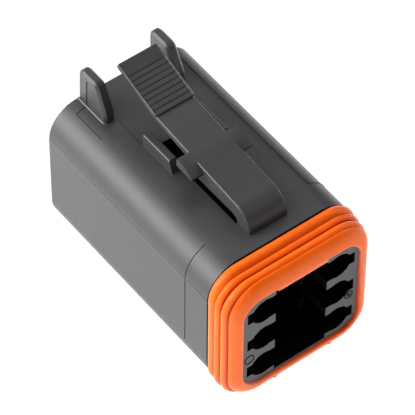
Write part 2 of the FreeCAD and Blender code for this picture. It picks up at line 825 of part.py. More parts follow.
def main():
    """Build the five pieces and write them."""
    document = FreeCAD.newDocument("sealed_plug")
    fill_sheet(document)
    makers = (make_housing, make_latch, make_interface_seal, make_wire_seal, make_retainer)
    pieces = [make(document) for make in makers]
    document.recompute()
    check_document(document)
    export(pieces)


main()
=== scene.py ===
import logging
import math
from dataclasses import astuple, dataclass
from enum import Enum

import bmesh
import bpy
from bpy.types import ID, Material, Mesh, Node, NodeSocket, NodeTree, Object
from mathutils import Matrix, Vector


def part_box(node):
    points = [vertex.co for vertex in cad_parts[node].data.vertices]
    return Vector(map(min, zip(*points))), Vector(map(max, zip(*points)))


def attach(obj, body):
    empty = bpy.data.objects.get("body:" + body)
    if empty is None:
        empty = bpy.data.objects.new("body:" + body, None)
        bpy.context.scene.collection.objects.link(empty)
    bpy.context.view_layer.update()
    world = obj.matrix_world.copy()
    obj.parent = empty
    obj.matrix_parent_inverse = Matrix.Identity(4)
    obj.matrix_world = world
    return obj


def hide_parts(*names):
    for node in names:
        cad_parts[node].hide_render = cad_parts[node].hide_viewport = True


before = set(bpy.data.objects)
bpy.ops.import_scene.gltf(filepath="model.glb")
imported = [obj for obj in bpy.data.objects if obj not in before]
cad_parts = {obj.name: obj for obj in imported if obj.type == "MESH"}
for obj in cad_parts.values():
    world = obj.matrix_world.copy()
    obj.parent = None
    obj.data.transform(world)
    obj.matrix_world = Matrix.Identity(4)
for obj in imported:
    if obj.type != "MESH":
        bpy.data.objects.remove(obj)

LOG = logging.getLogger("connector")
# The pieces' sizes are in millimetres, and this turns them into metres
MM = 0.001
# Points of a line, and corners of the CAD mesh, closer than this many metres are one
TOUCH, WELD = 1e-7, 1e-6
# Bend above which an edge of the CAD mesh stays sharp
SHARP = math.radians(30)
# Divisions of a round corner
CORNER_STEPS = 14
# Sockets of the Mix node that hold its two colours and the mixed one
MIX_A, MIX_B, MIXED = 6, 7, 2
# Values of the painted-shade attribute: 0 on a lit face, 1 where shade is painted near-black
LIT, DARK = 0.0, 1.0
# Points of a line in millimetres
Line = list[tuple[float, float, float]]


class Body(Enum):
    """CAD body that a piece rides on."""

    HOUSING = "housing"
    LATCH = "latch"


class Section(Enum):
    """Section of a moulded line by its number of flats."""

    RIDGE = 4
    FINE = 8
    ROUND = 32


def linear(code: str) -> tuple[float, float, float, float]:
    """Turn an sRGB hex colour into linear RGBA.

    Args:
        code: Six hex digits, with or without a leading hash sign.

    Returns:
        Red, green, blue and an alpha of 1.
    """
    digits = code.lstrip("#")
    channels = [int(digits[i : i + 2], 16) / 255 for i in (0, 2, 4)]
    made = [c / 12.92 if c <= 0.04045 else ((c + 0.055) / 1.055) ** 2.4 for c in channels]
    return (*made, 1.0)


def add_node(tree: NodeTree, kind: str, values: dict | None = None,
             **settings: str | int) -> Node:
    """Add one node with its settings and the values or links of its inputs.

    Args:
        tree: Node tree that gets the node.
        kind: Blender's type name of the node.
        values: Inputs by name or number: a plain value, or a socket to link from.
        settings: Properties of the node by name.

    Returns:
        The new node.
    """
    node = tree.nodes.new(kind)
    for name, value in settings.items():
        setattr(node, name, value)
    for name, value in (values or {}).items():
        if isinstance(value, NodeSocket):
            tree.links.new(value, node.inputs[name])
        else:
            node.inputs[name].default_value = value
    return node


def new_material(name: str) -> tuple[Material, NodeTree]:
    """Make an empty material with nodes.

    Args:
        name: Name of the material.

    Returns:
        The material and its node tree.
    """
    material = bpy.data.materials.new(name)
    material.use_nodes = True
    material.node_tree.nodes.clear()
    return material, material.node_tree


@dataclass(frozen=True)
class GlassFilledNylon:
    """Black glass-filled nylon, injection moulded in a spark-eroded tool.

    The tool leaves a fine even grain that spreads the highlights, and the glass
    fibres near the skin make the grey slightly uneven. The real grain is about
    0.05 mm wide; it is drawn coarser, as wide as it needs to show in the render.
    An attribute is 1 in the inside and under the latch; there shade is painted in
    as a near-black, rough colour without reflection.
    """

    name: str = "glass_filled_nylon"
    colour: str = "#2b2b2d"
    streak_colour: str = "#343436"
    roughness: float = 0.46
    ior: float = 1.53
    grain_mm: float = 0.26
    grain_depth_mm: float = 0.02
    streak_mm: float = 3.0
    # Near-black of the painted shade in the inside and under the latch, and its roughness
    core_colour: str = "#050506"
    core_roughness: float = 0.7
    edge_mm: float = 0.09

    def build(self) -> Material:
        """Make the material.

        Returns:
            The finished material.
        """
        material, tree = new_material(self.name)
        place = add_node(tree, "ShaderNodeTexCoord").outputs["Object"]
        grain = add_node(tree, "ShaderNodeTexNoise", {
            "Vector": place, "Scale": 1 / (self.grain_mm * MM), "Detail": 2.0, "Roughness": 0.6})
        streaks = add_node(tree, "ShaderNodeTexNoise", {
            "Vector": place, "Scale": 1 / (self.streak_mm * MM), "Detail": 3.0})
        colour = add_node(tree, "ShaderNodeMix", {
            "Factor": streaks.outputs[0], MIX_A: linear(self.colour),
            MIX_B: linear(self.streak_colour)}, data_type="RGBA")
        # Painted shade: where the attribute is 1 the grey turns near-black and rough and loses its
        # reflection
        core = add_node(tree, "ShaderNodeAttribute", attribute_name="core").outputs["Fac"]
        deep = add_node(tree, "ShaderNodeMix", {
            "Factor": core, MIX_A: colour.outputs[MIXED],
            MIX_B: linear(self.core_colour)}, data_type="RGBA")
        roughness = add_node(tree, "ShaderNodeMapRange", {
            "Value": core, "To Min": self.roughness, "To Max": self.core_roughness})
        tint = add_node(tree, "ShaderNodeMix", {
            "Factor": core, MIX_A: linear("#ffffff"), MIX_B: linear("#000000")},
            data_type="RGBA")
        edge = add_node(tree, "ShaderNodeBevel", {"Radius": self.edge_mm * MM}, samples=6)
        bump = add_node(tree, "ShaderNodeBump", {
            "Height": grain.outputs[0], "Distance": self.grain_depth_mm * MM, "Strength": 1.0,
            "Normal": edge.outputs[0]})
        shader = add_node(tree, "ShaderNodeBsdfPrincipled", {
            "Base Color": deep.outputs[MIXED], "Roughness": roughness.outputs[0],
            "IOR": self.ior, "Specular Tint": tint.outputs[MIXED],
            "Normal": bump.outputs["Normal"]})
        add_node(tree, "ShaderNodeOutputMaterial", {"Surface": shader.outputs["BSDF"]})
        return material


@dataclass(frozen=True)
class OrangeSilicone:
    """Orange liquid silicone rubber, moulded in a polished tool.

    Light goes a little way into it, and its skin is smooth and half glossy. Shade is
    painted deep red into grooves and folds, and a pale highlight onto the thin rim's
    top and left; two attributes say where.
    """

    name: str = "orange_silicone"
    colour: str = "#f06a10"
    cloud_colour: str = "#e85f0c"
    # Painted shade: deep red for grooves and folds
    groove_shade_colour: str = "#b80e00"
    # Painted highlight: pale colour on the top and left of the thin rim
    rim_highlight_colour: str = "#ffc49a"
    roughness: float = 0.35
    gloss: float = 0.26
    ior: float = 1.43
    cloud_mm: float = 2.2
    cloud_depth_mm: float = 0.01
    scatter_mm: float = 0.5

    def build(self) -> Material:
        """Make the material.

        Returns:
            The finished material.
        """
        material, tree = new_material(self.name)
        place = add_node(tree, "ShaderNodeTexCoord").outputs["Object"]
        clouds = add_node(tree, "ShaderNodeTexNoise", {
            "Vector": place, "Scale": 1 / (self.cloud_mm * MM), "Detail": 2.0})
        colour = add_node(tree, "ShaderNodeMix", {
            "Factor": clouds.outputs[0], MIX_A: linear(self.cloud_colour),
            MIX_B: linear(self.colour)}, data_type="RGBA")
        # Painted shade mixes deep red in by one attribute, then a painted highlight pales the rim
        # by the other
        groove_shade = add_node(tree, "ShaderNodeAttribute", attribute_name="groove_shade").outputs["Fac"]
        deep = add_node(tree, "ShaderNodeMix", {
            "Factor": groove_shade, MIX_A: colour.outputs[MIXED],
            MIX_B: linear(self.groove_shade_colour)}, data_type="RGBA")
        thin = add_node(tree, "ShaderNodeAttribute", attribute_name="thin").outputs["Fac"]
        pale = add_node(tree, "ShaderNodeMix", {
            "Factor": thin, MIX_A: deep.outputs[MIXED],
            MIX_B: linear(self.rim_highlight_colour)}, data_type="RGBA")
        bump = add_node(tree, "ShaderNodeBump", {
            "Height": clouds.outputs[0], "Distance": self.cloud_depth_mm * MM,
            "Strength": 0.4})
        shader = add_node(tree, "ShaderNodeBsdfPrincipled", {
            "Base Color": pale.outputs[MIXED], "Roughness": self.roughness, "IOR": self.ior,
            "Specular IOR Level": self.gloss, "Subsurface Weight": 0.25,
            "Subsurface Radius": (1.0, 0.3, 0.1), "Subsurface Scale": self.scatter_mm * MM,
            "Normal": bump.outputs["Normal"]})
        add_node(tree, "ShaderNodeOutputMaterial", {"Surface": shader.outputs["BSDF"]})
        return material


def link_object(name: str, data: ID) -> Object:
    """Put a mesh, a camera or a lamp into the scene as an object.

    Args:
        name: Name of the object.
        data: What the object shows.

    Returns:
        The new object.
    """
    made = bpy.data.objects.new(name, data)
    bpy.context.scene.collection.objects.link(made)
    return made


def end_work(work: bmesh.types.BMesh, name: str) -> Mesh:
    """Turn a working mesh into a plain one and free it.

    Args:
        work: Working mesh.
        name: Name of the plain mesh.

    Returns:
        The plain mesh.
    """
    mesh = bpy.data.meshes.new(name)
    work.to_mesh(mesh)
    work.free()
    return mesh


def open_group(name: str, inputs: dict[str, str],
               ) -> tuple[NodeTree, bpy.types.bpy_prop_collection]:
    """Make a geometry node group with its inputs and its output.

    Args:
        name: Name of the group.
        inputs: Kind of each input socket by its name.

    Returns:
        The node tree and the sockets that give its inputs.
    """
    tree = bpy.data.node_groups.new(name, "GeometryNodeTree")
    for label, kind in inputs.items():
        tree.interface.new_socket(label, in_out="INPUT", socket_type=f"NodeSocket{kind}")
    tree.interface.new_socket("Geometry", in_out="OUTPUT", socket_type="NodeSocketGeometry")
    return tree, add_node(tree, "NodeGroupInput").outputs


def close_group(tree: NodeTree, shape: NodeSocket, material: Material) -> NodeTree:
    """End a geometry node group with real geometry in its finish.

    Args:
        tree: Node tree of the group.
        shape: Socket with the shape that it has made.
        material: Finish of the shape.

    Returns:
        The finished tree.
    """
    real = add_node(tree, "GeometryNodeRealizeInstances", {"Geometry": shape})
    finish = add_node(tree, "GeometryNodeSetMaterial", {
        "Geometry": real.outputs[0], "Material": material})
    add_node(tree, "NodeGroupOutput", {"Geometry": finish.outputs[0]})
    return tree


def grow(start: Mesh, tree: NodeTree, values: dict[str, float]) -> Mesh:
    """Run a geometry node tree on a mesh and keep the result as a plain mesh.

    Args:
        start: Mesh that the tree gets.
        tree: Node tree to run.
        values: Inputs of the tree by name, with lengths in metres.

    Returns:
        The finished mesh.
    """
    carrier = link_object(start.name, start)
    maker = carrier.modifiers.new("maker", "NODES")
    maker.node_group = tree
    for socket in tree.interface.items_tree:
        if socket.in_out == "INPUT" and socket.name in values:
            maker[socket.identifier] = values[socket.name]
    bpy.context.view_layer.update()
    seen = carrier.evaluated_get(bpy.context.evaluated_depsgraph_get())
    made = bpy.data.meshes.new_from_object(seen)
    bpy.data.objects.remove(carrier)
    return made


def join_pieces(name: str, pieces: list[Object], material: Material) -> Object:
    """Join finished pieces into one mesh with one finish and remove the parts.

    Args:
        name: Name of the new object.
        pieces: Objects at the origin whose meshes are joined.
        material: Finish of the whole piece.

    Returns:
        The joined object.
    """
    work = bmesh.new()
    for piece in pieces:
        work.from_mesh(piece.data)
        bpy.data.objects.remove(piece)
    mesh = end_work(work, name)
    mesh.materials.clear()
    mesh.materials.append(material)
    for face in mesh.polygons:
        face.material_index = 0
        face.use_smooth = True
    return link_object(name, mesh)


@dataclass(frozen=True)
class Outline:
    """Rounded rectangle across the length of the part, in millimetres."""

    left: float
    right: float
    low: float
    high: float
    radius: float

    def ring(self, y: float) -> list[Vector]:
        """Points of the outline in metres, anticlockwise seen from the front.

        Args:
            y: Station along the part in millimetres.

        Returns:
            The points, starting at the right end of the bottom edge.
        """
        left, right = self.left + self.radius, self.right - self.radius
        low, high = self.low + self.radius, self.high - self.radius
        corners = ((right, low, -90), (right, high, 0), (left, high, 90), (left, low, 180))
        points = []
        for x, z, start in corners:
            for step in range(CORNER_STEPS + 1):
                turn = math.radians(start + 90 * step / CORNER_STEPS)
                points.append(Vector((x + self.radius * math.cos(turn), y,
                                      z + self.radius * math.sin(turn))) * MM)
        return points

    def toward(self, other: "Outline", share: float) -> "Outline":
        """Outline part of the way to another one.

        Args:
            other: Outline at the far end.
            share: 0 for this outline and 1 for the other.

        Returns:
            The outline between them.
        """
        pairs = zip(astuple(self), astuple(other))
        return Outline(*(a + (b - a) * share for a, b in pairs))

    def grown(self, amount: float) -> "Outline":
        """Outline drawn out all round by an amount."""
        return Outline(self.left - amount, self.right + amount, self.low - amount,
                       self.high + amount, self.radius + amount)

    def outside(self, x: float, z: float) -> float:
        """Measure how far a point lies outside the outline.

        Args:
            x: Place across the part in millimetres.
            z: Height in millimetres.

        Returns:
            Distance in millimetres, negative for a point inside.
        """
        across = abs(x - (self.left + self.right) / 2) - (self.right - self.left) / 2 + self.radius
        up = abs(z - (self.low + self.high) / 2) - (self.high - self.low) / 2 + self.radius
        beyond = math.hypot(max(across, 0.0), max(up, 0.0))
        return beyond + min(max(across, up), 0.0) - self.radius


@dataclass(frozen=True)
class Rib:
    """One rib of the seal: its place, its width and how far each side stands out."""

    back: float
    width: float
    left: float
    right: float
    low: float
    high: float
    radius: float


@dataclass
class InterfaceSeal:
    """Soft orange seal on the nose: sleeve with three round ribs and a smooth lip.

    The four amounts of each rib and of the band say how far they stand out from the
    body at the left, the right, the bottom and the top.
    """

    front: float
    shoulder: float
    body: Outline
    nose: Outline
    rib_pitch: float = 1.15
    rib_depth: float = 0.62
    rib_steps: int = 24
    groove_drop: float = 0.6
    # Painted shade in the grooves: where it begins below a crest and the depth over which it turns
    # full deep red
    groove_shade_start: float = 0.15
    groove_shade_depth: float = 0.36
    # Strength of the painted highlight on the thin rim
    rim_highlight_share: float = 0.5
    lip_length: float = 1.1
    rim_width: float = 0.22
    rim_round: float = 0.15
    # Painted shade spread faintly over the lip
    lip_shade: float = 0.03
    lip_steps: int = 16
    rim_steps: int = 4
    # Painted shade on the inner wall of the lip
    wall_shade: float = 0.85
    wall_lean: float = 0.15
    wall_start: float = 0.33
    wall_deep: float = 0.4
    wall_band: float = 0.12
    step_back: float = 0.05
    # Painted shade begins this far ahead of the ribs' end
    groove_shade_margin: float = 0.02
    # Painted highlight on the rim: its band beyond the nose, its reach back, and where it starts
    # and grows at the top and left
    rim_highlight_band: tuple[float, float] = (0.06, 0.2)
    rim_highlight_reach: float = 0.2
    highlight_height: float = 13.0
    highlight_side: float = 4.5
    highlight_fade: float = 4.0
    tab_half: float = 3.8
    tab_drop: float = 0.35
    tab_sunk: float = 0.2
    tab_back: float = 0.02
    tab_length: float = 1.1
    tab_bevel: float = 0.1
    nub_places: tuple[float, ...] = (-3.45, 4.95)
    nub_size: tuple[float, ...] = (0.42, 0.3, 0.25)
    nub_back: float = 0.75
    nub_rise: float = 0.22
    ribs: tuple[Rib, ...] = (
        Rib(0.45, 1.4, 0.2, 0.05, 0.1, 0.2, 4.2),
        Rib(1.55, 1.14, 0.2, 0.0, 0.2, -0.3, 3.9),
        Rib(2.8, 1.2, 0.2, -0.15, 0.1, -0.2, 4.2),
    )
    band: tuple[float, ...] = (-0.3, -0.29, -0.1, -0.3, 4.4)
    lip_bulge: float = 1.7

    def outset(self, sides: tuple[float, ...]) -> Outline:
        """Outline drawn out from the body by its own amount at each side.

        Args:
            sides: Amounts at the left, right, bottom and top, then the corner radius.

        Returns:
            The outline in millimetres.
        """
        left, right, low, high, radius = sides
        return Outline(self.body.left - left, self.body.right + right,
                       self.body.low - low, self.body.high + high, radius)

    def crest(self, rib: Rib) -> Outline:
        """Outline of the top of a rib."""
        return self.outset((rib.left, rib.right, rib.low, rib.high, rib.radius))

    def sleeve_end(self) -> float:
        """Station where the ribs end and the lip begins."""
        return self.shoulder - len(self.ribs) * self.rib_pitch

    def rib_tree(self, material: Material) -> NodeTree:
        """Node tree of one round rib that runs along a rounded rectangle.

        Args:
            material: Finish of the rib.

        Returns:
            The geometry node tree.
        """
        sizes = ("Width", "Height", "Corner Radius", "Rib Width", "Rib Depth",
                 "Station", "Centre X", "Centre Z")
        tree, given = open_group("seal_rib", dict.fromkeys(sizes, "Float"))
        path = add_node(tree, "GeometryNodeCurvePrimitiveQuadrilateral", {
            "Width": given["Width"], "Height": given["Height"]}, mode="RECTANGLE")
        rounded = add_node(tree, "GeometryNodeFilletCurve", {
            "Curve": path.outputs[0], "Count": CORNER_STEPS,
            "Radius": given["Corner Radius"]}, mode="POLY")
        section = add_node(tree, "GeometryNodeCurvePrimitiveCircle", {
            "Resolution": self.rib_steps, "Radius": 1.0}, mode="RADIUS")
        half = add_node(tree, "ShaderNodeMath", {0: given["Rib Width"], 1: 0.5},
                        operation="MULTIPLY")
        stretch = add_node(tree, "ShaderNodeCombineXYZ", {
            "X": given["Rib Depth"], "Y": half.outputs[0], "Z": 1.0})
        oval = add_node(tree, "GeometryNodeTransform", {
            "Geometry": section.outputs[0], "Scale": stretch.outputs[0]})
        swept = add_node(tree, "GeometryNodeCurveToMesh", {
            "Curve": rounded.outputs[0], "Profile Curve": oval.outputs[0]})
        place = add_node(tree, "ShaderNodeCombineXYZ", {
            "X": given["Centre X"], "Y": given["Station"], "Z": given["Centre Z"]})
        stood = add_node(tree, "GeometryNodeTransform", {
            "Geometry": swept.outputs[0], "Translation": place.outputs[0],
            "Rotation": (math.radians(90), 0.0, 0.0)})
        return close_group(tree, stood.outputs[0], material)

    def make_rib(self, tree: NodeTree, rib: Rib) -> Object:
        """Make one rib from the node tree as a plain mesh.

        Args:
            tree: Node tree of a rib.
            rib: Its place and sizes.

        Returns:
            The rib's object.
        """
        outline = self.crest(rib)
        depth = self.rib_depth
        values = {
            "Width": outline.right - outline.left - 2 * depth,
            "Height": outline.high - outline.low - 2 * depth,
            "Corner Radius": outline.radius - depth,
            "Rib Width": rib.width,
            "Rib Depth": depth,
            "Station": self.shoulder - rib.back,
            "Centre X": (outline.left + outline.right) / 2,
            "Centre Z": (outline.low + outline.high) / 2,
        }
        lengths = {name: value * MM for name, value in values.items()}
        return link_object("rib", grow(bpy.data.meshes.new("rib"), tree, lengths))

    def make_sleeve(self) -> Object:
        """Make the sleeve under the ribs and the lip in front as one closed skin.

        Returns:
            The sleeve's object.
        """
        band = self.outset(self.band)
        drop = self.groove_drop
        middle = self.ribs[1]
        groove = self.outset((middle.left - drop, middle.right - drop, middle.low - drop,
                              middle.high - drop, self.band[4]))
        rim = self.nose.grown(self.rim_width)
        back = self.sleeve_end()
        stack = [(groove, self.shoulder), (groove, back + self.step_back), (band, back)]
        for step in range(1, self.lip_steps + 1):
            turn = math.radians(90 * step / self.lip_steps)
            share = 1 - max(math.cos(turn), 0.0) ** (2 / self.lip_bulge)
            run = math.sin(turn) ** (2 / self.lip_bulge)
            stack.append((band.toward(rim, share), back - self.lip_length * run))
        for step in range(1, self.rim_steps + 1):
            turn = math.radians(90 * step / self.rim_steps)
            stack.append((rim.grown(-self.rim_round * math.sin(turn)),
                          self.front + self.rim_round * (1 - math.cos(turn))))
        wall = self.nose.grown(-self.wall_lean)
        stack += [(wall, self.front + self.wall_start), (wall, self.front + self.wall_deep),
                  (wall, self.shoulder)]
        return link_object("seal_sleeve", ring_skin([outline.ring(y) for outline, y in stack]))

    def mark_painted_light(self, mesh: Mesh) -> None:
        """Store where shade is painted into grooves and folds and a highlight onto the rim.

        Args:
            mesh: Mesh of the whole seal.
        """
        # Painted highlight: paler towards the top and the left of the thin rim, where the lamps
        # fall
        rim_highlights = mesh.attributes.new("thin", "FLOAT", "POINT")
        near, far = self.rim_highlight_band
        for point, thin in zip(mesh.vertices, rim_highlights.data):
            x, y, z = point.co / MM
            rim = near < self.nose.outside(x, z) < far and y < self.front + self.rim_highlight_reach
            lit = max((z - self.highlight_height) / self.highlight_fade,
                      (-x - self.highlight_side) / self.highlight_fade, 0.0)
            thin.value = self.rim_highlight_share * min(lit, 1.0) if rim else 0.0
        crests = [(self.shoulder - rib.back, self.crest(rib)) for rib in self.ribs]
        back = self.sleeve_end()
        # Painted shade: deep red grows with depth below the nearest crest, lies faintly on the lip
        # and grows into the inner wall
        groove_shades = mesh.attributes.new("groove_shade", "FLOAT", "POINT")
        for point, groove_shade in zip(mesh.vertices, groove_shades.data):
            x, y, z = point.co / MM
            depth = self.lip_shade
            if y > back - self.groove_shade_margin:
                crest = min(crests, key=lambda place: abs(y - place[0]))[1]
                depth = -(crest.outside(x, z) + self.groove_shade_start) / self.groove_shade_depth
            elif self.nose.outside(x, z) < self.wall_band:
                depth = self.wall_shade * (y - self.front) / self.wall_start
            groove_shade.value = min(max(depth, 0.0), 1.0)

    def make_tab(self) -> Object:
        """Make the small tab that hangs from the lip over the slot.

        Returns:
            The tab's object.
        """
        size = Vector((2 * self.tab_half, self.tab_length, self.tab_drop + self.tab_sunk))
        middle = Vector((0.0, self.front + self.tab_back + size.y / 2,
                         self.nose.high - self.tab_drop + size.z / 2))
        work = bmesh.new()
        bmesh.ops.create_cube(work, size=1.0,
                              matrix=Matrix.LocRotScale(middle * MM, None, size * MM))
        bmesh.ops.bevel(work, geom=work.edges[:], offset=self.tab_bevel * MM, segments=2,
                        affect="EDGES")
        return link_object("tab", end_work(work, "tab"))

    def make_nubs(self) -> list[Object]:
        """Make the two gate nubs under the lip.

        Returns:
            Their objects.
        """
        made = []
        y, z = self.front + self.nub_back, self.body.low - self.band[2] + self.nub_rise
        size = Vector(self.nub_size) * MM
        for x in self.nub_places:
            stand = Matrix.LocRotScale(Vector((x, y, z)) * MM, None, size)
            work = bmesh.new()
            bmesh.ops.create_uvsphere(work, u_segments=16, v_segments=10, radius=1.0,
                                      matrix=stand)
            made.append(link_object("nub", end_work(work, "nub")))
        return made

    def build(self, material: Material) -> Object:
        """Make the seal, which stands for its CAD node.

        Args:
            material: Finish of the seal.

        Returns:
            The finished seal.
        """
        tree = self.rib_tree(material)
        parts = [self.make_rib(tree, rib) for rib in self.ribs]
        parts += [self.make_sleeve(), self.make_tab()] + self.make_nubs()
        seal = join_pieces("orange_seal", parts, material)
        self.mark_painted_light(seal.data)
        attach(seal, Body.HOUSING.value)
        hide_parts("interface_seal")
        return seal


def ring_skin(rings: list[list[Vector]]) -> Mesh:
    """Skin a closed loop of rings that all have the same number of points.

    Args:
        rings: Rings in order; the last one joins the first.

    Returns:
        The closed mesh with its faces outwards.
    """
    work = bmesh.new()
    made = [[work.verts.new(point) for point in ring] for ring in rings]
    count = len(rings[0])
    for index, ring in enumerate(made):
        beyond = made[(index + 1) % len(made)]
        for spot in range(count):
            after = (spot + 1) % count
            work.faces.new((ring[spot], ring[after], beyond[after], beyond[spot]))
    bmesh.ops.remove_doubles(work, verts=work.verts, dist=TOUCH)
    bmesh.ops.recalc_face_normals(work, faces=work.faces)
    return end_work(work, "skin")


def merged_copy(node: str) -> bmesh.types.BMesh:
    """Copy a CAD node's loose triangles and merge their points.

    Args:
        node: Name of the CAD node.

    Returns:
        The working mesh.
    """
    work = bmesh.new()
    work.from_mesh(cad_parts[node].data)
    bmesh.ops.remove_doubles(work, verts=work.verts, dist=WELD)
    bmesh.ops.recalc_face_normals(work, faces=work.faces)
    return work


def smooth_skin(work: bmesh.types.BMesh, name: str, material: Material) -> Object:
    """Turn a working mesh into an object with smooth faces and sharp edges.

    Args:
        work: Working mesh, freed here.
        name: Name of the object.
        material: Finish of every face.

    Returns:
        The object.
    """
    for edge in work.edges:
        edge.smooth = edge.is_manifold and edge.calc_face_angle() < SHARP
    for face in work.faces:
        face.smooth = True
    mesh = end_work(work, name)
    mesh.materials.clear()
    mesh.materials.append(material)
    return link_object(name, mesh)


@dataclass
class MouldedLine:
    """Thin round lines that follow paths drawn on a moulding."""

    material: Material
    tree: NodeTree | None = None

    def __post_init__(self) -> None:
        """Build the node tree once: a round section that follows the edges of a mesh."""
        tree, given = open_group("moulded_line", {
            "Geometry": "Geometry", "Radius": "Float", "Depth": "Float", "Sides": "Int"})
        path = add_node(tree, "GeometryNodeMeshToCurve", {"Mesh": given["Geometry"]})
        section = add_node(tree, "GeometryNodeCurvePrimitiveCircle", {
            "Resolution": given["Sides"], "Radius": given["Radius"]}, mode="RADIUS")
        swept = add_node(tree, "GeometryNodeCurveToMesh", {
            "Curve": path.outputs[0], "Profile Curve": section.outputs[0], "Fill Caps": True})
        # The line stores its painted shade: near-black where it stands for shade in a seam or gap
        kept = add_node(tree, "GeometryNodeStoreNamedAttribute", {
            "Geometry": swept.outputs[0], "Name": "core", "Value": given["Depth"]},
            data_type="FLOAT", domain="POINT")
        self.tree = close_group(tree, kept.outputs[0], self.material)

    def draw(self, name: str, body: Body, paths: list[Line], radius: float, depth: float,
             section: Section) -> Object:
        """Draw lines along paths as one piece.

        Args:
            name: Name of the piece.
            body: Body that it rides on.
            paths: Lines to follow; one that ends where it starts is closed.
            radius: Radius of the line in millimetres.
            depth: 0 for a raised line and 1 for a line painted near-black as shade in a gap.
            section: Shape across the line; a ridge has level and upright corners.

        Returns:
            The piece.
        """
        mesh = bpy.data.meshes.new(name)
        points, edges = [], []
        for path in paths:
            first = len(points)
            spots = [Vector(point) * MM for point in path]
            closed = (spots[0] - spots[-1]).length < TOUCH
            if closed:
                spots.pop()
            points += spots
            spans = len(spots) if closed else len(spots) - 1
            edges += [(first + i, first + (i + 1) % len(spots)) for i in range(spans)]
        mesh.from_pydata(points, edges, [])
        made = grow(mesh, self.tree, {
            "Radius": radius * MM, "Depth": depth, "Sides": section.value})
        for face in made.polygons:
            face.use_smooth = section is not Section.RIDGE
        piece = link_object(name, made)
        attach(piece, body.value)
        return piece


@dataclass
class LatchArm:
    """Latch arm: a copy of the moulding with finer ridges and a bright edge on its pad."""

    thumb: float
    pad_height: float
    half_width: float = 2.85
    ridge_pitch: float = 0.78
    ridge_share: float = 0.925
    ridge_count: int = 8
    ridge_relief: float = 0.8
    ridge_ends: tuple[float, float] = (0.02, 0.05)
    ridge_band: tuple[float, float] = (-0.05, 0.35)
    slope_degrees: float = 17.8
    pad_length: float = 7.65
    edge_radius: float = 0.15
    edge_in: float = 0.01
    edge_drop: float = 0.1
    edge_ends: tuple[float, float] = (0.05, 0.2)

    def top_at(self, y: float) -> float:
        """Height of the pad's face at a station, in millimetres."""
        return self.pad_height + (y - self.thumb) * math.tan(math.radians(self.slope_degrees))

    def build(self, material: Material, lines: MouldedLine) -> list[Object]:
        """Make the arm, which stands for its CAD node, and the edges of its pad.

        Args:
            material: Finish of the arm.
            lines: Maker of the thin lines.

        Returns:
            The arm and the edges.
        """
        work = merged_copy("latch_arm")
        start = self.thumb + self.ridge_ends[0]
        end = self.thumb + self.ridge_count * self.ridge_pitch + self.ridge_ends[1]
        above, below = self.ridge_band
        for point in work.verts:
            y, z = point.co.y / MM, point.co.z / MM
            drop = self.top_at(y) - z
            if start < y < end and above < drop < below:
                moved = self.thumb + (y - self.thumb) * self.ridge_share
                point.co.y = moved * MM
                point.co.z = (self.top_at(moved) - drop * self.ridge_relief) * MM
        arm = smooth_skin(work, "latch", material)
        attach(arm, Body.LATCH.value)
        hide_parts("latch_arm")
        tip = self.thumb + self.pad_length - self.edge_ends[1]
        stations = (self.thumb + self.edge_ends[0], (self.thumb + tip) / 2, tip)
        x = self.half_width - self.edge_in
        paths = [[(side * x, y, self.top_at(y) - self.edge_drop) for y in stations]
                 for side in (-1, 1)]
        return [arm, lines.draw("pad_edges", Body.LATCH, paths, self.edge_radius, LIT,
                                Section.RIDGE)]


